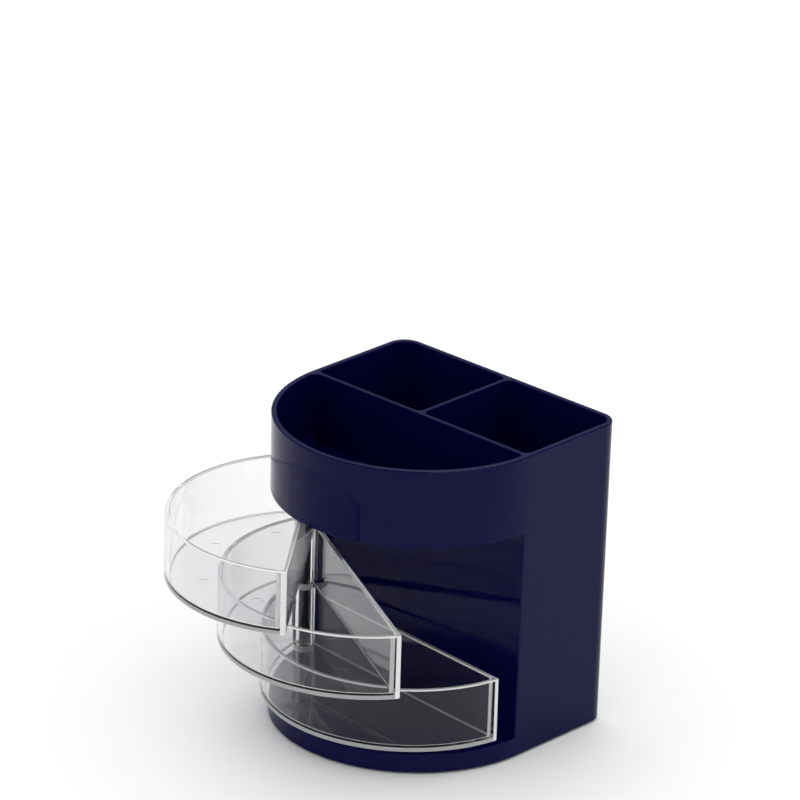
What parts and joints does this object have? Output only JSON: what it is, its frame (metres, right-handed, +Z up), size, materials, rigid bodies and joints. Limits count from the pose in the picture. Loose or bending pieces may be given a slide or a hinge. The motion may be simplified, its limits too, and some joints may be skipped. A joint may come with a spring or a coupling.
{
  "type": "desk organizer with swing-out trays",
  "caption": "D-shaped desk organizer with two deep pen compartments, a shallow front compartment and clear half-round trays that swing out on one upright rod.",
  "frame": {"origin": "on the ground plane under the centre of the half-round front, on the underside of the mat", "axes": "+Z up, +X right along the dividers as seen from the front, +Y from the front towards the flat back"},
  "size_m": [0.1002, 0.12, 0.0998],
  "materials": {
    "navy_plastic": "glossy moulded",
    "clear_plastic": "clear, polished",
    "rod_steel": "drawn",
    "white_nylon": "matt",
    "foam_rubber": "fine closed-cell"
  },
  "bodies": {
    "housing": {"housing": "navy_plastic", "base_cover": "navy_plastic", "non_slip_mat": "foam_rubber", "pivot_rod": "rod_steel", "bottom_washer": "white_nylon", "middle_washer": "white_nylon", "top_washer": "white_nylon"},
    "bottom_tray": {"bottom_tray": "clear_plastic"},
    "middle_tray": {"middle_tray": "clear_plastic"},
    "top_tray": {"top_tray": "clear_plastic"}
  },
  "joints": [
    {"name": "bottom_tray_swing", "type": "hinge", "parent": "housing", "child": "bottom_tray", "pos_m": [-0.04053, -0.0068, 0.0193], "axis": [0, 0, -1], "range_deg": [-4.6, 110.4]},
    {"name": "middle_tray_swing", "type": "hinge", "parent": "housing", "child": "middle_tray", "pos_m": [-0.04053, -0.0068, 0.0415], "axis": [0, 0, -1], "range_deg": [-28.5, 86.5]},
    {"name": "top_tray_swing", "type": "hinge", "parent": "housing", "child": "top_tray", "pos_m": [-0.04053, -0.0068, 0.0637], "axis": [0, 0, -1], "range_deg": [-52.1, 62.9]}
  ]
}
